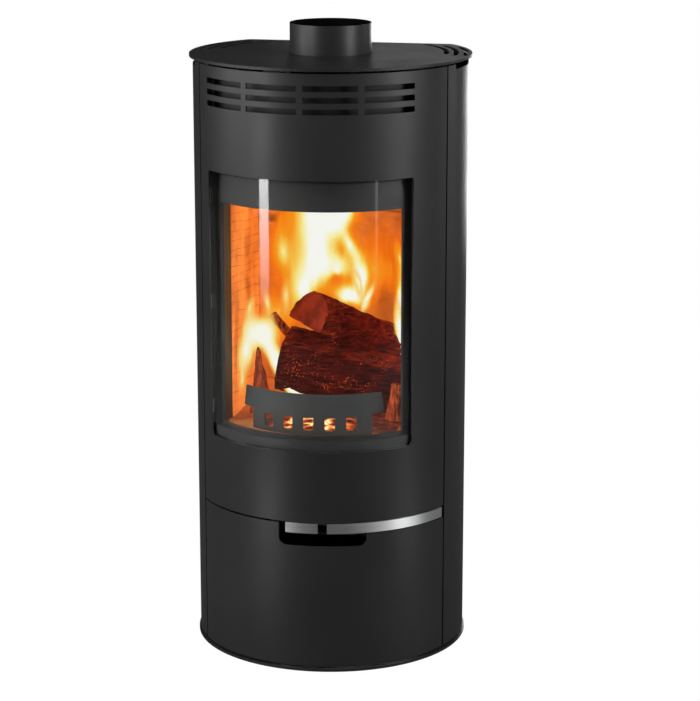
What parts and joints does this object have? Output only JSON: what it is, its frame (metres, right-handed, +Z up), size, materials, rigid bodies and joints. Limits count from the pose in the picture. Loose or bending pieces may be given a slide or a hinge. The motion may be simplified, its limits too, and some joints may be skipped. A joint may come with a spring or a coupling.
{
  "type": "wood burning stove",
  "caption": "Tall cylindrical wood burning stove with a flat back, a curved glazed fire door, a wood store with its own door below, an air slider and a top flue collar.",
  "frame": {"origin": "on the floor, on the axis of the flue collar, which is also the axis of the curved casing", "axes": "+Z up, -Y out of the glazed front, +Y into the room's wall behind the flat back, +X to the right seen from the front"},
  "size_m": [0.518, 0.4279, 1.162],
  "materials": {
    "casing_paint": "satin black heat-resistant paint",
    "chassis_steel": "matte dark grey heat-resistant paint",
    "black_steel": "matte black steel sheet",
    "grate_iron": "rough dark casting",
    "lining_board": "matte buff insulating board, sooty",
    "burning_wood": "charred split firewood, glowing in places",
    "bare_steel": "bare steel",
    "galvanised_sheet": "dull galvanised sheet",
    "chrome_plate": "polished",
    "ceramic_glass": "clear ceramic glass",
    "seal_rope": "woven grey rope"
  },
  "bodies": {
    "stove_body": {"base_plate": "casing_paint", "side_panel_left": "casing_paint", "side_panel_right": "casing_paint", "back_panel": "casing_paint", "top_plate": "casing_paint", "flue_collar": "casing_paint", "rear_heat_shield": "galvanised_sheet", "left_post": "chassis_steel", "right_post": "chassis_steel", "wood_store_roof": "chassis_steel", "ash_compartment_floor": "chassis_steel", "firebox_wall_left": "chassis_steel", "firebox_wall_right": "chassis_steel", "firebox_back_wall": "chassis_steel", "firebox_roof": "chassis_steel", "firebox_floor": "chassis_steel", "firebox_front_frame": "chassis_steel", "floor_brick_left": "lining_board", "floor_brick_right": "lining_board", "side_brick_left": "lining_board", "side_brick_right": "lining_board", "rear_brick": "lining_board", "baffle_plate": "lining_board", "fire_grate": "grate_iron", "log_guard": "black_steel", "log_lower": "burning_wood", "log_upper": "burning_wood", "log_left": "burning_wood", "log_right": "burning_wood", "upper_hinge_bracket": "chassis_steel", "middle_hinge_bracket": "chassis_steel", "upper_hinge_pin": "bare_steel", "middle_hinge_pin": "bare_steel", "lower_hinge_pin": "bare_steel", "latch_keeper_lower": "bare_steel", "latch_keeper_upper": "bare_steel", "magnet_catch": "black_steel", "air_channel": "galvanised_sheet", "air_inlet_collar": "galvanised_sheet"},
    "fire_door": {"fire_door_panel": "casing_paint", "fire_door_glass": "ceramic_glass", "fire_door_inner_frame": "black_steel", "fire_door_rope_seal": "seal_rope", "glass_retainer_left": "bare_steel", "glass_retainer_right": "bare_steel", "fire_door_upper_lug": "black_steel", "fire_door_lower_lug": "black_steel", "latch_bearing_lower": "black_steel", "latch_bearing_upper": "black_steel"},
    "latch_handle": {"door_handle": "chrome_plate", "latch_shaft": "bare_steel", "latch_hook_lower": "bare_steel", "latch_hook_upper": "bare_steel"},
    "wood_store_door": {"lower_door_panel": "casing_paint", "lower_door_upper_lug": "black_steel", "lower_door_lower_lug": "black_steel", "lower_door_striker": "bare_steel"},
    "air_control": {"air_control_tab": "chrome_plate", "air_slide_plate": "bare_steel"},
    "ash_drawer": {"ash_pan": "black_steel"}
  },
  "joints": [
    {"name": "fire_door_hinge", "type": "hinge", "parent": "stove_body", "child": "fire_door", "pos_m": [-0.19569, -0.14322, 0.68], "axis": [0, 0, -1], "range_deg": [0, 100]},
    {"name": "latch_turn", "type": "hinge", "parent": "fire_door", "child": "latch_handle", "pos_m": [0.21191, -0.11267, 0.2735], "axis": [0, 0, 1], "range_deg": [0, 25]},
    {"name": "wood_store_door_hinge", "type": "hinge", "parent": "stove_body", "child": "wood_store_door", "pos_m": [-0.19569, -0.14322, 0.145], "axis": [0, 0, -1], "range_deg": [0, 100]},
    {"name": "air_control_slide", "type": "slide", "parent": "stove_body", "child": "air_control", "axis": [1, 0, 0], "range_m": [-0.01, 0.01]},
    {"name": "ash_drawer_slide", "type": "slide", "parent": "stove_body", "child": "ash_drawer", "axis": [0, -1, 0], "range_m": [0, 0.03]}
  ]
}
